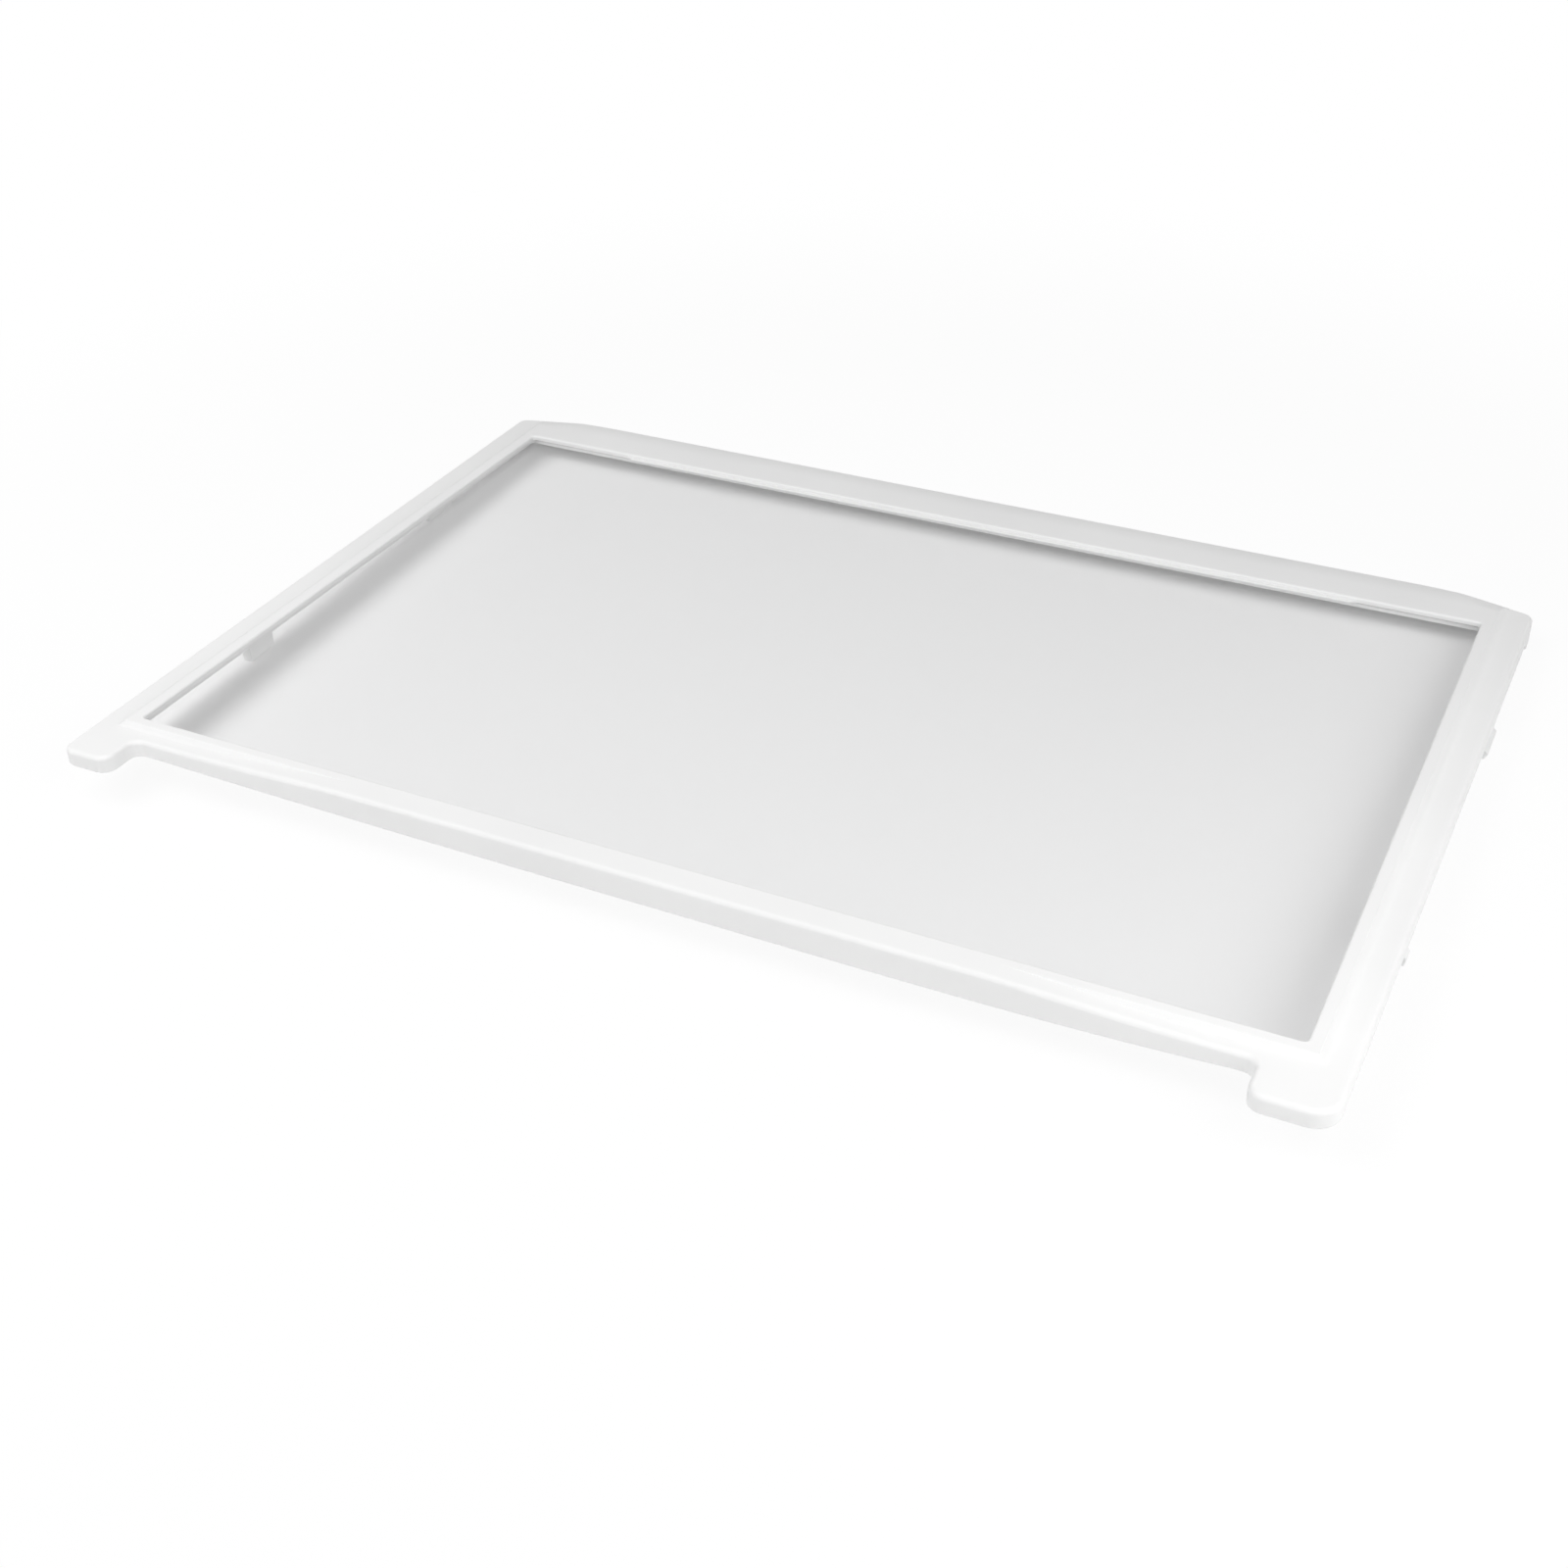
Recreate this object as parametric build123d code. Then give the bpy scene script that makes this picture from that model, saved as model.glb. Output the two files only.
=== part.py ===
from build123d import *
import math
import os

os.makedirs("parts", exist_ok=True)

# Opening of the frame, seen from above
OPEN_W = 444.0
OPEN_D = 282.0
OPEN_CORNER_R = 1.6

# Plan of the moulding, measured outward from the opening's edges
FLANGE_NEAR = 16.0
FLANGE_FAR = 18.1
RAIL_REACH = 11.7
EAR_REACH = 27.8
EAR_LEFT_INSET = 5.2
EAR_RIGHT_INSET = 11.6
EAR_LEFT_R = 5.0
EAR_RIGHT_R = 9.0
EAR_INNER_R = 5.6
EAR_ROOT_R = 4.2
CORNER_REACH = 18.6
CORNER_R = 5.0
NOSE_EASE_INSET = 48.0
NOSE_EASE_R = 220.0
NOSE_PLAN_OVER = 1.5
NOSE_EASE_OVER = 7.0

# Nose rail section: level top, long slope, small tip, upright front
NOSE_FLAT = 13.0
NOSE_R = 38.5
NOSE_SLOPE = 26.3
TIP_R = 8.0
NOSE_BOTTOM = 13.4
NOSE_HEEL = 4.0
NOSE_HEEL_RUN = 6.0

# Levels, measured down from the top of the lip
FLANGE_DROP = 1.9
GLASS_DROP = 2.2
SKIRT_DROP = 8.8
NEAR_LUG_DROP = 21.6
FAR_LUG_DROP = 17.9

# Lip round the opening and the soft steps beside it
LIP_SIDE = 5.6
LIP_NEAR = 3.0
STEP_SIDE = 4.6
STEP_NEAR = 3.6
STEP_OVER = 0.3
NEAR_RISE_START = 26.0
NEAR_RISE_END = 118.0

# Belly of the near rail's upright face, measured from its ends and down from the skirt's foot
BELLY_INSET = 3.0
BELLY_LEFT_RUN = 115.0
BELLY_LEFT_SAG = 1.9
BELLY_DEEP_RUN = 245.0
BELLY_DEEP_SAG = 2.7
BELLY_RIGHT_RUN = 55.0
BELLY_RIGHT_SAG = 2.4

# Walls, pane and the groove that holds it
WALL = 2.2
GLASS_T = 4.0
GLASS_OVERLAP = 4.2
GLASS_CORNER_R = 3.0
PANE_FIT = 0.1
GROOVE_LIP = 1.6
GROOVE_SETBACK = 2.7
GROOVE_WALL = 2.0

# Retaining bead on the nose rail's inner wall
BEAD_LEFT_INSET = 51.5
BEAD_RIGHT_INSET = 49.3
BEAD_OUT = 1.5
BEAD_H = 0.7
BEAD_R = 0.4
BEAD_RAMP = 3.0

# Hanging lugs with a barb at the foot
LUG_T = 3.2
LUG_INSET = 1.8
NEAR_LUG_Y = 84.0
NEAR_LUG_L = 15.0
FAR_LUG_Y = 218.5
FAR_LUG_L = 18.5
NEAR_BARB_OUT = 1.2
FAR_BARB_OUT = 2.4
BARB_H = 4.7
NEAR_BARB_L = 6.0
FAR_BARB_L = 18.5

# Rounding of the moulding's outer edges
RIM_R = 1.8
NOSE_RIM_R = 1.5
FOOT_R = 0.6
OPENING_R = 1.0
RIM_TOL = 0.02
UPRIGHT_SHARE = 0.9

# Derived positions: lowest lug stands on z = 0, the plan is centred on x = 0, y = 0
SLOPE_RAD = math.radians(NOSE_SLOPE)
NOSE_REACH = NOSE_FLAT + NOSE_R * math.sin(SLOPE_RAD) + TIP_R * (1 - math.sin(SLOPE_RAD))
DEPTH = EAR_REACH + OPEN_D + NOSE_REACH
LIP_Z = NEAR_LUG_DROP
FLANGE_Z = LIP_Z - FLANGE_DROP
GLASS_Z = LIP_Z - GLASS_DROP
SKIRT_Z = LIP_Z - SKIRT_DROP
NOSE_Z = LIP_Z - NOSE_BOTTOM
X_RIGHT = OPEN_W / 2
X_LEFT = -X_RIGHT
Y_BACK = -DEPTH / 2
Y_NEAR = Y_BACK + EAR_REACH
Y_FAR = Y_NEAR + OPEN_D
Y_FRONT = DEPTH / 2
Y_MID = (Y_NEAR + Y_FAR) / 2
SIDE_SPAN = CORNER_REACH + OPEN_D + EAR_REACH
OVER = 40.0


def plan_outline():
    """Outline of the moulding from above, with every corner rounded."""
    corners = [
        ((X_LEFT - FLANGE_NEAR, Y_BACK), EAR_LEFT_R),
        ((X_LEFT + EAR_LEFT_INSET, Y_BACK), EAR_INNER_R),
        ((X_LEFT + EAR_LEFT_INSET, Y_NEAR - RAIL_REACH), EAR_ROOT_R),
        ((X_RIGHT - EAR_RIGHT_INSET, Y_NEAR - RAIL_REACH), EAR_ROOT_R),
        ((X_RIGHT - EAR_RIGHT_INSET, Y_BACK), EAR_INNER_R),
        ((X_RIGHT + FLANGE_NEAR, Y_BACK), EAR_RIGHT_R),
        ((X_RIGHT + FLANGE_FAR, Y_FAR + CORNER_REACH), CORNER_R),
        ((X_RIGHT - NOSE_EASE_INSET, Y_FRONT + NOSE_PLAN_OVER), NOSE_EASE_R),
        ((X_LEFT + NOSE_EASE_INSET, Y_FRONT + NOSE_PLAN_OVER), NOSE_EASE_R),
        ((X_LEFT - FLANGE_FAR, Y_FAR + CORNER_REACH), CORNER_R),
    ]
    face = Polygon(*[point for point, _ in corners], align=None)
    for point, radius in corners:
        corner = face.vertices().sort_by_distance((*point, 0))[0]
        face = fillet(corner, radius)
    return face


def side_profile(inset, top_z, start_y, bottom_z):
    """Section across the nose rail, as a closed face in the YZ plane, shrunk by the wall."""
    level = Line((start_y, top_z - inset), (Y_FAR + NOSE_FLAT, top_z - inset))
    slope = JernArc(level @ 1, (1, 0), NOSE_R - inset, -NOSE_SLOPE)
    tip = JernArc(slope @ 1, slope % 1, TIP_R - inset, NOSE_SLOPE - 90)
    heel_y = Y_FAR + NOSE_HEEL
    rest = Polyline(
        tip @ 1,
        ((tip @ 1).X, bottom_z),
        (heel_y + NOSE_HEEL_RUN, bottom_z),
        (heel_y, max(bottom_z, SKIRT_Z)),
        (start_y, max(bottom_z, SKIRT_Z)),
        level @ 0,
    )
    return Plane.YZ * make_face(level + slope + tip + rest)


def rising_edge(x_low, x_high, drop):
    """Smooth S curve from a lowered level up to just over the lip."""
    return Spline(
        (x_low, LIP_Z - drop),
        (x_high, LIP_Z + STEP_OVER),
        tangents=((x_high - x_low, 0), (x_high - x_low, 0)),
    )


def side_step():
    """Space above the right-hand flange, bounded by the soft step beside the lip."""
    curve = rising_edge(X_RIGHT + LIP_SIDE + STEP_SIDE / 2, X_RIGHT + LIP_SIDE - STEP_SIDE / 2, FLANGE_DROP)
    rest = Polyline(
        curve @ 1,
        ((curve @ 1).X, LIP_Z + OVER),
        (X_RIGHT + OVER, LIP_Z + OVER),
        (X_RIGHT + OVER, FLANGE_Z),
        curve @ 0,
    )
    face = Plane.XZ * make_face(curve + rest)
    return extrude(face, amount=DEPTH, both=True)


def near_face(below, limit_z):
    """Face in the XZ plane between the near rail's top line, lowered by below, and a level."""
    low = X_RIGHT - NEAR_RISE_START
    high = X_RIGHT - NEAR_RISE_END
    end = X_RIGHT + OVER
    left = rising_edge(-low, -high, FLANGE_DROP)
    right = rising_edge(low, high, FLANGE_DROP)
    level = Line(left @ 1, right @ 1)
    rest = Polyline(
        right @ 0,
        (end, FLANGE_Z),
        (end, limit_z + below),
        (-end, limit_z + below),
        (-end, FLANGE_Z),
        left @ 0,
    )
    return Plane.XZ * Pos(0, -below) * make_face(left + level + right + rest)


def near_step():
    """Space above the near rail's flange, beyond the soft step of the near lip."""
    above = extrude(near_face(0, LIP_Z + OVER), amount=DEPTH, both=True)
    foot = Y_NEAR - LIP_NEAR - STEP_NEAR
    curve = rising_edge(foot, foot + STEP_NEAR, FLANGE_DROP)
    rest = Polyline(
        curve @ 1,
        ((curve @ 1).X, LIP_Z + OVER),
        (Y_BACK - OVER, LIP_Z + OVER),
        (Y_BACK - OVER, FLANGE_Z - OVER),
        (foot, FLANGE_Z - OVER),
        curve @ 0,
    )
    behind = extrude(Plane.YZ * make_face(curve + rest), amount=OPEN_W, both=True)
    return above & behind


def nose_end(shift):
    """Space above the slope along the nose rail's eased right-hand end, moved outward by shift."""
    slope = JernArc((Y_FAR + NOSE_FLAT, LIP_Z + STEP_OVER), (1, 0), NOSE_R, -NOSE_SLOPE)
    tip = JernArc(slope @ 1, slope % 1, TIP_R, NOSE_SLOPE - 90)
    rest = Polyline(
        tip @ 1,
        ((tip @ 1).X, NOSE_Z - OVER),
        (Y_FRONT + OVER, NOSE_Z - OVER),
        (Y_FRONT + OVER, LIP_Z + OVER),
        (Y_FAR + NOSE_FLAT, LIP_Z + OVER),
        slope @ 0,
    )
    bar = extrude(Plane.YZ * make_face(slope + tip + rest), amount=3 * OVER, both=True)
    fall = Y_FAR + CORNER_REACH - Y_FRONT - NOSE_PLAN_OVER
    turn = math.degrees(math.atan2(fall, FLANGE_FAR + NOSE_EASE_INSET))
    start = Pos(X_RIGHT - NOSE_EASE_INSET, Y_FRONT + NOSE_PLAN_OVER, 0)
    return start * Rot(0, 0, turn) * Pos(0, shift - Y_FRONT, 0) * bar


def bead():
    """Retaining bead low on the nose rail's inner wall, sloping into the wall at both ends."""
    start = X_LEFT + BEAD_LEFT_INSET
    end = X_RIGHT - BEAD_RIGHT_INSET
    face = Polygon(
        (start, Y_FAR + WALL),
        (start, Y_FAR),
        (start + BEAD_RAMP, Y_FAR - BEAD_OUT),
        (end - BEAD_RAMP, Y_FAR - BEAD_OUT),
        (end, Y_FAR),
        (end, Y_FAR + WALL),
        align=None,
    )
    bar = Pos(0, 0, GLASS_Z + PANE_FIT) * extrude(face, amount=BEAD_H)
    crest = bar.edges().filter_by(Axis.X).group_by(Axis.Y)[0].sort_by(Axis.Z)[-1]
    return fillet(crest, BEAD_R)


def rim_edges(shape, z_low, z_high, y_high):
    """Level and sloping edges of the outer rim, picked by height and by distance to the nose."""
    found = []
    for edge in shape.edges():
        middle = edge.position_at(0.5)
        on_rim = ring.distance_to(Vertex(middle.X, middle.Y, 0)) < RIM_TOL
        upright = edge.bounding_box().size.Z > UPRIGHT_SHARE * edge.length
        if on_rim and not upright and z_low <= middle.Z <= z_high and middle.Y < y_high:
            found.append(edge)
    return found


def block(width, depth, z_low, z_high, radius=0.0):
    """Upright block centred on the opening, with rounded upright edges where asked."""
    face = Rectangle(width, depth) if radius == 0 else RectangleRounded(width, depth, radius)
    return Pos(0, Y_MID, z_low) * extrude(face, amount=z_high - z_low)


def lug(y_from_near, length, drop, barb_length, barb_out):
    """Right-hand hanging lug: an upright plate with an outward barb at its foot's near end."""
    share = (EAR_REACH + y_from_near) / SIDE_SPAN
    outer = X_RIGHT + FLANGE_NEAR + share * (FLANGE_FAR - FLANGE_NEAR) - LUG_INSET
    foot_z = LIP_Z - drop
    root_z = FLANGE_Z - WALL / 2
    y_at = Y_NEAR + y_from_near
    plate = Pos(outer - LUG_T / 2, y_at, (root_z + foot_z) / 2) * Box(LUG_T, length, root_z - foot_z)
    barb_face = Plane.XZ * Polygon(
        (outer - LUG_T, foot_z),
        (outer + barb_out / 2, foot_z),
        (outer + barb_out, foot_z + BARB_H / 2),
        (outer, foot_z + BARB_H),
        (outer - LUG_T, foot_z + BARB_H),
        align=None,
    )
    barb_y = y_at - (length - barb_length) / 2
    barb = Pos(0, barb_y, 0) * extrude(barb_face, amount=barb_length / 2, both=True)
    return plate + barb


# Outer body: the plan raised to a level and trimmed to the nose section
outline = plan_outline()
ring = outline.faces()[0].outer_wire()
section = extrude(side_profile(0, LIP_Z, Y_BACK - OVER, NOSE_Z), amount=OPEN_W, both=True)
lip_body = (Pos(0, 0, NOSE_Z) * extrude(outline, amount=LIP_Z - NOSE_Z)) & section
flange_body = Pos(0, 0, NOSE_Z) * extrude(outline, amount=FLANGE_Z - NOSE_Z)
right_step = side_step()
steps = right_step + mirror(right_step, about=Plane.YZ) + near_step()

# Near half: the flanges, the ears and the rising near rail share one rounded rim
half = Pos(0, Y_MID - DEPTH, LIP_Z) * Box(2 * OPEN_W, 2 * DEPTH, 4 * OVER)
near_body = (lip_body - steps) & half
near_body = fillet(rim_edges(near_body, FLANGE_Z - RIM_R, LIP_Z, Y_MID), RIM_R)

# Nose half: the flanges and the nose keep a rounded rim each
flange_body = fillet(rim_edges(flange_body, FLANGE_Z - RIM_R, LIP_Z, DEPTH), RIM_R)
lip_zone = Box(OPEN_W + 2 * LIP_SIDE + STEP_SIDE, 2 * DEPTH, 4 * OVER)
flange_body = (flange_body & section) - lip_zone
lip_body = fillet(rim_edges(lip_body, SKIRT_Z + RIM_R, LIP_Z, Y_FRONT), NOSE_RIM_R)
right_end = nose_end(NOSE_EASE_OVER)
nose_body = flange_body + ((lip_body - steps) & lip_zone)
nose_body = nose_body - right_end - mirror(right_end, about=Plane.YZ)
body = near_body + (nose_body - half)

# Belly of the near rail's upright face, bowed down between the ears
belly_left = X_LEFT + EAR_LEFT_INSET + EAR_ROOT_R + BELLY_INSET
belly_right = X_RIGHT - EAR_RIGHT_INSET - EAR_ROOT_R - BELLY_INSET
belly_arc = Spline(
    (belly_left, SKIRT_Z),
    (belly_left + BELLY_LEFT_RUN, SKIRT_Z - BELLY_LEFT_SAG),
    (belly_left + BELLY_DEEP_RUN, SKIRT_Z - BELLY_DEEP_SAG),
    (belly_right - BELLY_RIGHT_RUN, SKIRT_Z - BELLY_RIGHT_SAG),
    (belly_right, SKIRT_Z),
)
belly_top = Polyline(
    belly_arc @ 1,
    (belly_right, FLANGE_Z - WALL),
    (belly_left, FLANGE_Z - WALL),
    belly_arc @ 0,
)
belly_face = Plane.XZ * make_face(belly_arc + belly_top)
belly = Pos(0, Y_NEAR - RAIL_REACH + WALL, 0) * extrude(belly_face, amount=WALL)
body = body + belly

# Open channel under the skin, outside the groove's wall
groove_reach = GLASS_OVERLAP + PANE_FIT + GROOVE_WALL
inner_plan = offset(outline, -WALL)
inner = Pos(0, 0, NOSE_Z - OVER) * extrude(inner_plan, amount=LIP_Z - NOSE_Z + OVER)
low_space = extrude(side_profile(WALL, FLANGE_Z, Y_BACK - OVER, NOSE_Z - OVER), amount=OPEN_W, both=True)
nose_space = extrude(side_profile(WALL, LIP_Z, Y_FAR, NOSE_Z - OVER), amount=X_RIGHT, both=True)
near_space = extrude(near_face(WALL, NOSE_Z - OVER), amount=DEPTH, both=True)
near_space = near_space & Pos(0, Y_NEAR - OVER, 0) * Box(2 * OPEN_W, 2 * OVER, 2 * OVER)
core = block(OPEN_W + 2 * groove_reach, OPEN_D + 2 * groove_reach, NOSE_Z - 2 * OVER, LIP_Z + OVER)
right_end = Pos(0, 0, -WALL) * nose_end(NOSE_EASE_OVER - WALL)
hollow = (inner & (low_space + nose_space + near_space)) - core
hollow = hollow - right_end - mirror(right_end, about=Plane.YZ)
body = body - hollow

# Groove that holds the pane, its lower lip set back from the opening
pane_w = OPEN_W + 2 * GLASS_OVERLAP
pane_d = OPEN_D + 2 * GLASS_OVERLAP
groove_low = GLASS_Z - GLASS_T - PANE_FIT
lip_low = groove_low - GROOVE_LIP
lower_w = OPEN_W + 2 * GROOVE_SETBACK
lower_d = OPEN_D + 2 * GROOVE_SETBACK
body = body - block(OPEN_W + 2 * groove_reach, OPEN_D + 2 * groove_reach, NOSE_Z - OVER, lip_low)
body = body - block(pane_w + 2 * PANE_FIT, pane_d + 2 * PANE_FIT, groove_low, GLASS_Z + PANE_FIT,
                    GLASS_CORNER_R)
body = body - block(OPEN_W, OPEN_D, NOSE_Z, LIP_Z + OVER, OPEN_CORNER_R)
body = body - block(lower_w, lower_d, NOSE_Z, groove_low + PANE_FIT, OPEN_CORNER_R)

# Rounded upper edge of the opening, and the bead on the nose rail's wall
opening_top = body.edges().filter_by_position(Axis.Z, LIP_Z - RIM_TOL, LIP_Z + RIM_TOL)
opening_top = opening_top.filter_by_position(Axis.X, X_LEFT - RIM_TOL, X_RIGHT + RIM_TOL)
opening_top = opening_top.filter_by_position(Axis.Y, Y_NEAR - RIM_TOL, Y_FAR + RIM_TOL)
body = fillet(opening_top, OPENING_R) + bead()

# Rounded foot of the skirt
heel_end = Y_FAR + NOSE_HEEL + NOSE_HEEL_RUN
foot = rim_edges(body, NOSE_Z - RIM_R, SKIRT_Z + RIM_TOL, heel_end)
foot = foot + rim_edges(body, NOSE_Z - RIM_R, NOSE_Z + RIM_R, DEPTH)
body = fillet(foot, FOOT_R)

# Hanging lugs, two on each side
near_lug = lug(NEAR_LUG_Y, NEAR_LUG_L, NEAR_LUG_DROP, NEAR_BARB_L, NEAR_BARB_OUT)
far_lug = lug(FAR_LUG_Y, FAR_LUG_L, FAR_LUG_DROP, FAR_BARB_L, FAR_BARB_OUT)
right_lugs = near_lug + far_lug
body = body + right_lugs + mirror(right_lugs, about=Plane.YZ)

shelf_frame = body
glass_pane = block(pane_w, pane_d, GLASS_Z - GLASS_T, GLASS_Z, GLASS_CORNER_R)

export_step(shelf_frame, "parts/shelf_frame.step")
export_step(glass_pane, "parts/glass_pane.step")
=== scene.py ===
import bpy
from mathutils import Matrix, Vector

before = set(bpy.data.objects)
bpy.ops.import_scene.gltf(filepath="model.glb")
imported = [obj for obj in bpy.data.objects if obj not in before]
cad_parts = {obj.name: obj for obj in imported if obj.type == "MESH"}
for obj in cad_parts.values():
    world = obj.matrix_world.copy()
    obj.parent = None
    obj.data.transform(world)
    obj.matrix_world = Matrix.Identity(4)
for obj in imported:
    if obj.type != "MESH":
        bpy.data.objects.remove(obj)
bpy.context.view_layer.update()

# Shelf frame: one white injection moulding, with the raised lip, the side flanges, the ears,
# the nose rail, the retaining bead and the hanging lugs all in one shot of ABS. The tool is
# polished and lightly textured, so the skin is satin with a very fine grain.
RESIN_TONES = ((0.816, 0.816, 0.815, 1.0), (0.85, 0.85, 0.848, 1.0))
RESIN_DRIFT_SCALE = 14.0
MOULDING_IOR = 1.53
MOULDING_SHINE = 0.35
MOULDING_ROUGHNESS = (0.44, 0.52)
MOULDING_HAZE_SCALE = 32.0
GRAIN_SCALE = 2600.0
GRAIN_DEPTH = 0.00004
GRAIN_STRENGTH = 0.12
shelf_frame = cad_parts["shelf_frame"]

# Handling haze, shared by the plastic and the glass: soft cloudy patches broken up by finer
# specks, as wiping leaves them on a smooth surface.
handling_haze = bpy.data.node_groups.new("handling_haze", "ShaderNodeTree")
for haze_input in ("Patch Scale", "Clean", "Hazed"):
    handling_haze.interface.new_socket(haze_input, in_out="INPUT", socket_type="NodeSocketFloat")
handling_haze.interface.new_socket("Haze", in_out="OUTPUT", socket_type="NodeSocketFloat")
haze_in = handling_haze.nodes.new("NodeGroupInput")
haze_out = handling_haze.nodes.new("NodeGroupOutput")
haze_place = handling_haze.nodes.new("ShaderNodeTexCoord")
haze_patch = handling_haze.nodes.new("ShaderNodeTexNoise")
haze_patch.inputs["Detail"].default_value = 5.0
haze_patch.inputs["Roughness"].default_value = 0.62
haze_range = handling_haze.nodes.new("ShaderNodeMapRange")
haze_range.inputs["From Min"].default_value = 0.3
haze_range.inputs["From Max"].default_value = 0.7
handling_haze.links.new(haze_place.outputs["Object"], haze_patch.inputs["Vector"])
handling_haze.links.new(haze_in.outputs["Patch Scale"], haze_patch.inputs["Scale"])
handling_haze.links.new(haze_patch.outputs["Fac"], haze_range.inputs["Value"])
handling_haze.links.new(haze_in.outputs["Clean"], haze_range.inputs["To Min"])
handling_haze.links.new(haze_in.outputs["Hazed"], haze_range.inputs["To Max"])
handling_haze.links.new(haze_range.outputs["Result"], haze_out.inputs["Haze"])

white_moulding = bpy.data.materials.new("white_moulding")
white_moulding.use_nodes = True
white_moulding.diffuse_color = (0.84, 0.84, 0.835, 1.0)
moulding_tree = white_moulding.node_tree
moulding_skin = moulding_tree.nodes["Principled BSDF"]
moulding_skin.inputs["IOR"].default_value = MOULDING_IOR
moulding_skin.inputs["Specular IOR Level"].default_value = MOULDING_SHINE
moulding_place = moulding_tree.nodes.new("ShaderNodeTexCoord")

# The resin's tone drifts a little along the long runs of the moulding.
resin_drift = moulding_tree.nodes.new("ShaderNodeTexNoise")
resin_drift.inputs["Scale"].default_value = RESIN_DRIFT_SCALE
resin_drift.inputs["Detail"].default_value = 3.0
resin_tone = moulding_tree.nodes.new("ShaderNodeValToRGB")
resin_tone.color_ramp.elements[0].position = 0.3
resin_tone.color_ramp.elements[0].color = RESIN_TONES[0]
resin_tone.color_ramp.elements[1].position = 0.7
resin_tone.color_ramp.elements[1].color = RESIN_TONES[1]
moulding_tree.links.new(moulding_place.outputs["Object"], resin_drift.inputs["Vector"])
moulding_tree.links.new(resin_drift.outputs["Fac"], resin_tone.inputs["Fac"])
moulding_tree.links.new(resin_tone.outputs["Color"], moulding_skin.inputs["Base Color"])

moulding_haze = moulding_tree.nodes.new("ShaderNodeGroup")
moulding_haze.node_tree = handling_haze
moulding_haze.inputs["Patch Scale"].default_value = MOULDING_HAZE_SCALE
moulding_haze.inputs["Clean"].default_value = MOULDING_ROUGHNESS[0]
moulding_haze.inputs["Hazed"].default_value = MOULDING_ROUGHNESS[1]
moulding_tree.links.new(moulding_haze.outputs["Haze"], moulding_skin.inputs["Roughness"])

# The tool's fine texture, about a third of a millimetre across.
tool_grain = moulding_tree.nodes.new("ShaderNodeTexNoise")
tool_grain.inputs["Scale"].default_value = GRAIN_SCALE
tool_grain.inputs["Detail"].default_value = 2.0
grain_relief = moulding_tree.nodes.new("ShaderNodeBump")
grain_relief.inputs["Strength"].default_value = GRAIN_STRENGTH
grain_relief.inputs["Distance"].default_value = GRAIN_DEPTH
moulding_tree.links.new(moulding_place.outputs["Object"], tool_grain.inputs["Vector"])
moulding_tree.links.new(tool_grain.outputs["Fac"], grain_relief.inputs["Height"])
moulding_tree.links.new(grain_relief.outputs["Normal"], moulding_skin.inputs["Normal"])

shelf_frame.data.materials.clear()
shelf_frame.data.materials.append(white_moulding)

# Glass pane: one sheet of 4 mm tempered float glass with ground corners, snapped into the
# groove of the frame on all four sides. Clear, with a trace of wiping haze on its faces.
PANE_TONES = ((0.981, 0.9812, 0.9814, 1.0), (0.99, 0.9902, 0.9904, 1.0))
PANE_DRIFT_SCALE = 6.0
PANE_IOR = 1.5
PANE_ROUGHNESS = (0.0, 0.03)
PANE_HAZE_SCALE = 9.0
PANE_LET_THROUGH = (0.916, 0.9162, 0.9164, 1.0)
glass_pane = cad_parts["glass_pane"]

clear_pane = bpy.data.materials.new("clear_pane")
clear_pane.use_nodes = True
clear_pane.diffuse_color = (0.93, 0.97, 0.955, 0.25)
pane_tree = clear_pane.node_tree
pane_glass = pane_tree.nodes["Principled BSDF"]
pane_glass.inputs["IOR"].default_value = PANE_IOR
pane_glass.inputs["Metallic"].default_value = 0.0
pane_glass.inputs["Transmission Weight"].default_value = 1.0
pane_place = pane_tree.nodes.new("ShaderNodeTexCoord")

float_drift = pane_tree.nodes.new("ShaderNodeTexNoise")
float_drift.inputs["Scale"].default_value = PANE_DRIFT_SCALE
float_tone = pane_tree.nodes.new("ShaderNodeValToRGB")
float_tone.color_ramp.elements[0].color = PANE_TONES[0]
float_tone.color_ramp.elements[1].color = PANE_TONES[1]
pane_tree.links.new(pane_place.outputs["Object"], float_drift.inputs["Vector"])
pane_tree.links.new(float_drift.outputs["Fac"], float_tone.inputs["Fac"])
pane_tree.links.new(float_tone.outputs["Color"], pane_glass.inputs["Base Color"])

pane_haze = pane_tree.nodes.new("ShaderNodeGroup")
pane_haze.node_tree = handling_haze
pane_haze.inputs["Patch Scale"].default_value = PANE_HAZE_SCALE
pane_haze.inputs["Clean"].default_value = PANE_ROUGHNESS[0]
pane_haze.inputs["Hazed"].default_value = PANE_ROUGHNESS[1]
pane_tree.links.new(pane_haze.outputs["Haze"], pane_glass.inputs["Roughness"])

# Lamps and the room shine through the pane, so the table below it is lit.
pane_shade = pane_tree.nodes.new("ShaderNodeBsdfTransparent")
pane_shade.inputs["Color"].default_value = PANE_LET_THROUGH
pane_rays = pane_tree.nodes.new("ShaderNodeLightPath")
pane_lit = pane_tree.nodes.new("ShaderNodeMath")
pane_lit.operation = "MAXIMUM"
pane_tree.links.new(pane_rays.outputs["Is Shadow Ray"], pane_lit.inputs[0])
pane_tree.links.new(pane_rays.outputs["Is Diffuse Ray"], pane_lit.inputs[1])
pane_mix = pane_tree.nodes.new("ShaderNodeMixShader")
pane_tree.links.new(pane_lit.outputs[0], pane_mix.inputs["Fac"])
pane_tree.links.new(pane_glass.outputs["BSDF"], pane_mix.inputs[1])
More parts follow.
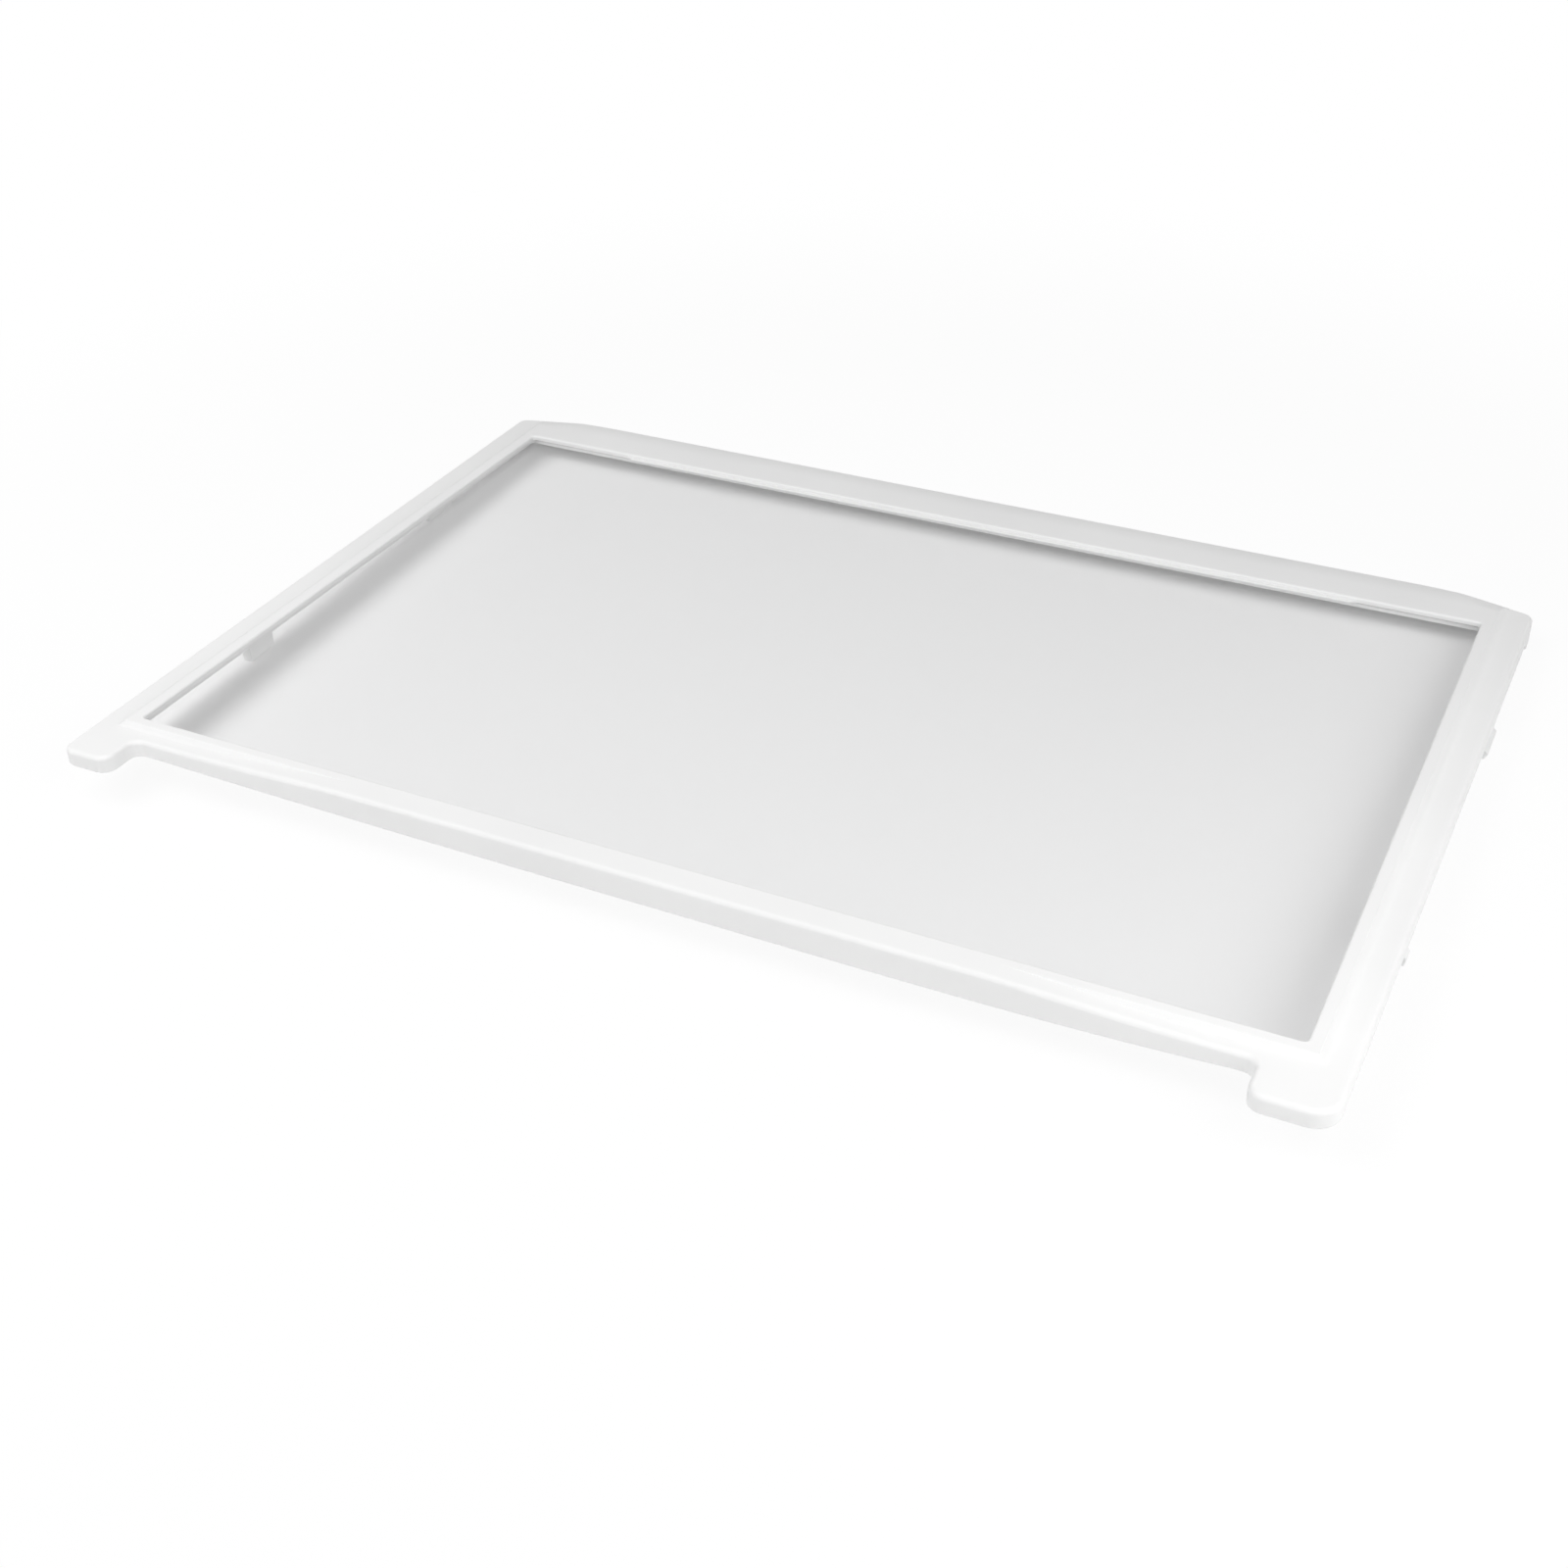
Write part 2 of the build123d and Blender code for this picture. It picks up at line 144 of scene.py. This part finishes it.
pane_tree.links.new(pane_shade.outputs["BSDF"], pane_mix.inputs[2])
pane_tree.links.new(pane_mix.outputs["Shader"], pane_tree.nodes["Material Output"].inputs["Surface"])

glass_pane.data.materials.clear()
glass_pane.data.materials.append(clear_pane)

# Table top: a plain pale sheet under the four lugs. The front pair of lugs is the longer, so
# the sheet leans by the small angle at which all four lugs stand on it.
LUG_FEET = (Vector((0.0, -0.06036, 0.0)), Vector((0.0, 0.07414, 0.0037)))
TABLE_HALF = 6.0
SHEET_COLOUR = (0.92, 0.92, 0.92, 1.0)
SHADOW_REACH = (0.32, 0.62)
WHITE_SHARE = (0.92, 1.0)
WHITE_SHARE_THROUGH_PANE = 0.03

table_lean = (LUG_FEET[1] - LUG_FEET[0]).normalized()
table_mesh = bpy.data.meshes.new("table_top")
table_mesh.from_pydata(
    [LUG_FEET[0] + table_lean * y + Vector((x, 0.0, 0.0))
     for x, y in ((-TABLE_HALF, -TABLE_HALF), (TABLE_HALF, -TABLE_HALF),
                  (TABLE_HALF, TABLE_HALF), (-TABLE_HALF, TABLE_HALF))],
    [], [(0, 1, 2, 3)])
table_top = bpy.data.objects.new("table_top", table_mesh)
bpy.context.scene.collection.objects.link(table_top)

pale_sheet = bpy.data.materials.new("pale_sheet")
pale_sheet.use_nodes = True
sheet_tree = pale_sheet.node_tree
sheet_paint = sheet_tree.nodes["Principled BSDF"]
sheet_paint.inputs["Base Color"].default_value = SHEET_COLOUR
sheet_paint.inputs["Roughness"].default_value = 0.9
sheet_paint.inputs["Specular IOR Level"].default_value = 0.0
sheet_white = sheet_tree.nodes.new("ShaderNodeEmission")
sheet_white.inputs["Color"].default_value = (1.0, 1.0, 1.0, 1.0)
sheet_white.inputs["Strength"].default_value = 1.0

# Seen straight on, the sheet is white with a trace of the shelf's shadow, and plain white
# further off; seen through the pane it keeps nearly all of its shading.
sheet_place = sheet_tree.nodes.new("ShaderNodeTexCoord")
sheet_distance = sheet_tree.nodes.new("ShaderNodeVectorMath")
sheet_distance.operation = "LENGTH"
sheet_tree.links.new(sheet_place.outputs["Object"], sheet_distance.inputs[0])
sheet_fade = sheet_tree.nodes.new("ShaderNodeMapRange")
sheet_fade.interpolation_type = "SMOOTHSTEP"
sheet_fade.inputs["From Min"].default_value = SHADOW_REACH[0]
sheet_fade.inputs["From Max"].default_value = SHADOW_REACH[1]
sheet_fade.inputs["To Min"].default_value = WHITE_SHARE[0]
sheet_fade.inputs["To Max"].default_value = WHITE_SHARE[1]
sheet_tree.links.new(sheet_distance.outputs["Value"], sheet_fade.inputs["Value"])
sheet_rays = sheet_tree.nodes.new("ShaderNodeLightPath")
sheet_seen = sheet_tree.nodes.new("ShaderNodeMath")
sheet_seen.operation = "MAXIMUM"
sheet_tree.links.new(sheet_rays.outputs["Is Camera Ray"], sheet_seen.inputs[0])
sheet_tree.links.new(sheet_rays.outputs["Is Glossy Ray"], sheet_seen.inputs[1])
sheet_share = sheet_tree.nodes.new("ShaderNodeMath")
sheet_share.operation = "MULTIPLY"
sheet_tree.links.new(sheet_seen.outputs[0], sheet_share.inputs[0])
sheet_tree.links.new(sheet_fade.outputs["Result"], sheet_share.inputs[1])
sheet_white_share = sheet_tree.nodes.new("ShaderNodeMix")
sheet_white_share.data_type = "FLOAT"
sheet_white_share.inputs["B"].default_value = WHITE_SHARE_THROUGH_PANE
sheet_tree.links.new(sheet_rays.outputs["Is Transmission Ray"], sheet_white_share.inputs["Factor"])
sheet_tree.links.new(sheet_share.outputs[0], sheet_white_share.inputs["A"])
sheet_mix = sheet_tree.nodes.new("ShaderNodeMixShader")
sheet_tree.links.new(sheet_white_share.outputs["Result"], sheet_mix.inputs["Fac"])
sheet_tree.links.new(sheet_paint.outputs["BSDF"], sheet_mix.inputs[1])
sheet_tree.links.new(sheet_white.outputs["Emission"], sheet_mix.inputs[2])

# From below the sheet is clear, so the underside of the shelf can be looked at.
sheet_side = sheet_tree.nodes.new("ShaderNodeNewGeometry")
sheet_clear = sheet_tree.nodes.new("ShaderNodeBsdfTransparent")
sheet_faces = sheet_tree.nodes.new("ShaderNodeMixShader")
sheet_tree.links.new(sheet_side.outputs["Backfacing"], sheet_faces.inputs["Fac"])
sheet_tree.links.new(sheet_mix.outputs["Shader"], sheet_faces.inputs[1])
sheet_tree.links.new(sheet_clear.outputs["BSDF"], sheet_faces.inputs[2])
sheet_tree.links.new(sheet_faces.outputs["Shader"], sheet_tree.nodes["Material Output"].inputs["Surface"])
table_mesh.materials.append(pale_sheet)

# Light: two soft boxes low over the ends of the shelf, in a white room that is brightest
# on the right. Each box has its size, power, place and the point that it faces.
SOFT_BOXES = {
    "right_box": (0.45, 1.76, (0.53, -0.25, 0.37), (0.16, -0.05, 0.0)),
    "left_box": (0.62, 5.95, (-0.4, -0.45, 0.8), (-0.12, -0.05, 0.0)),
}
ROOM_LEFT = 0.17
ROOM_RIGHT = 0.53
for box_name, (box_size, box_power, box_place, box_aim) in SOFT_BOXES.items():
    soft_box = bpy.data.lights.new(box_name, "AREA")
    soft_box.shape = "SQUARE"
    soft_box.size = box_size
    soft_box.energy = box_power
    soft_box_holder = bpy.data.objects.new(box_name, soft_box)
    soft_box_holder.location = box_place
    soft_box_turn = Vector(box_aim) - soft_box_holder.location
    soft_box_holder.rotation_euler = soft_box_turn.to_track_quat("-Z", "Y").to_euler()
    soft_box_holder.visible_camera = False
    soft_box_holder.visible_glossy = False
    bpy.context.scene.collection.objects.link(soft_box_holder)

white_room = bpy.data.worlds.new("white_room")
white_room.use_nodes = True
bpy.context.scene.world = white_room
room_tree = white_room.node_tree
room_light = room_tree.nodes["Background"]
room_light.inputs["Color"].default_value = (1.0, 1.0, 1.0, 1.0)
room_place = room_tree.nodes.new("ShaderNodeTexCoord")
room_parts = room_tree.nodes.new("ShaderNodeSeparateXYZ")
room_tree.links.new(room_place.outputs["Generated"], room_parts.inputs["Vector"])
room_grade = room_tree.nodes.new("ShaderNodeMapRange")
room_grade.inputs["From Min"].default_value = -1.0
room_grade.inputs["From Max"].default_value = 1.0
room_grade.inputs["To Min"].default_value = ROOM_LEFT
room_grade.inputs["To Max"].default_value = ROOM_RIGHT
room_tree.links.new(room_parts.outputs["X"], room_grade.inputs["Value"])
room_tree.links.new(room_grade.outputs["Result"], room_light.inputs["Strength"])

# The camera, the plastic and the glass see the room as plain white.
room_seen = room_tree.nodes.new("ShaderNodeBackground")
room_seen.inputs["Color"].default_value = (1.0, 1.0, 1.0, 1.0)
room_seen.inputs["Strength"].default_value = 1.0
room_rays = room_tree.nodes.new("ShaderNodeLightPath")
room_sum = room_rays.outputs["Is Camera Ray"]
for ray_kind in ("Is Glossy Ray", "Is Transmission Ray"):
    room_most = room_tree.nodes.new("ShaderNodeMath")
    room_most.operation = "MAXIMUM"
    room_tree.links.new(room_sum, room_most.inputs[0])
    room_tree.links.new(room_rays.outputs[ray_kind], room_most.inputs[1])
    room_sum = room_most.outputs[0]
room_mix = room_tree.nodes.new("ShaderNodeMixShader")
room_tree.links.new(room_sum, room_mix.inputs["Fac"])
room_tree.links.new(room_light.outputs["Background"], room_mix.inputs[1])
room_tree.links.new(room_seen.outputs["Background"], room_mix.inputs[2])
room_tree.links.new(room_mix.outputs["Shader"], room_tree.nodes["World Output"].inputs["Surface"])

# Camera: looks down on the shelf over its eared rail, from the front right.
CAMERA_LENS = 47.7556
CAMERA_SENSOR = 36.0
CAMERA_PLACE = (0.29284, -0.639628, 0.43301)
CAMERA_RIGHT = (0.900401, 0.434862, -0.013165)
CAMERA_UP = (-0.230794, 0.503084, 0.832851)
CAMERA_BACK = (0.368799, -0.746861, 0.553341)
shelf_camera = bpy.data.cameras.new("shelf_camera")
shelf_camera.sensor_width = CAMERA_SENSOR
shelf_camera.lens = CAMERA_LENS
shelf_camera.clip_start = 0.01
shelf_camera_holder = bpy.data.objects.new("shelf_camera", shelf_camera)
shelf_camera_holder.matrix_world = Matrix((
    (CAMERA_RIGHT[0], CAMERA_UP[0], CAMERA_BACK[0], CAMERA_PLACE[0]),
    (CAMERA_RIGHT[1], CAMERA_UP[1], CAMERA_BACK[1], CAMERA_PLACE[1]),
    (CAMERA_RIGHT[2], CAMERA_UP[2], CAMERA_BACK[2], CAMERA_PLACE[2]),
    (0.0, 0.0, 0.0, 1.0),
))
bpy.context.scene.collection.objects.link(shelf_camera_holder)
bpy.context.scene.camera = shelf_camera_holder
bpy.context.scene.view_settings.view_transform = "Standard"
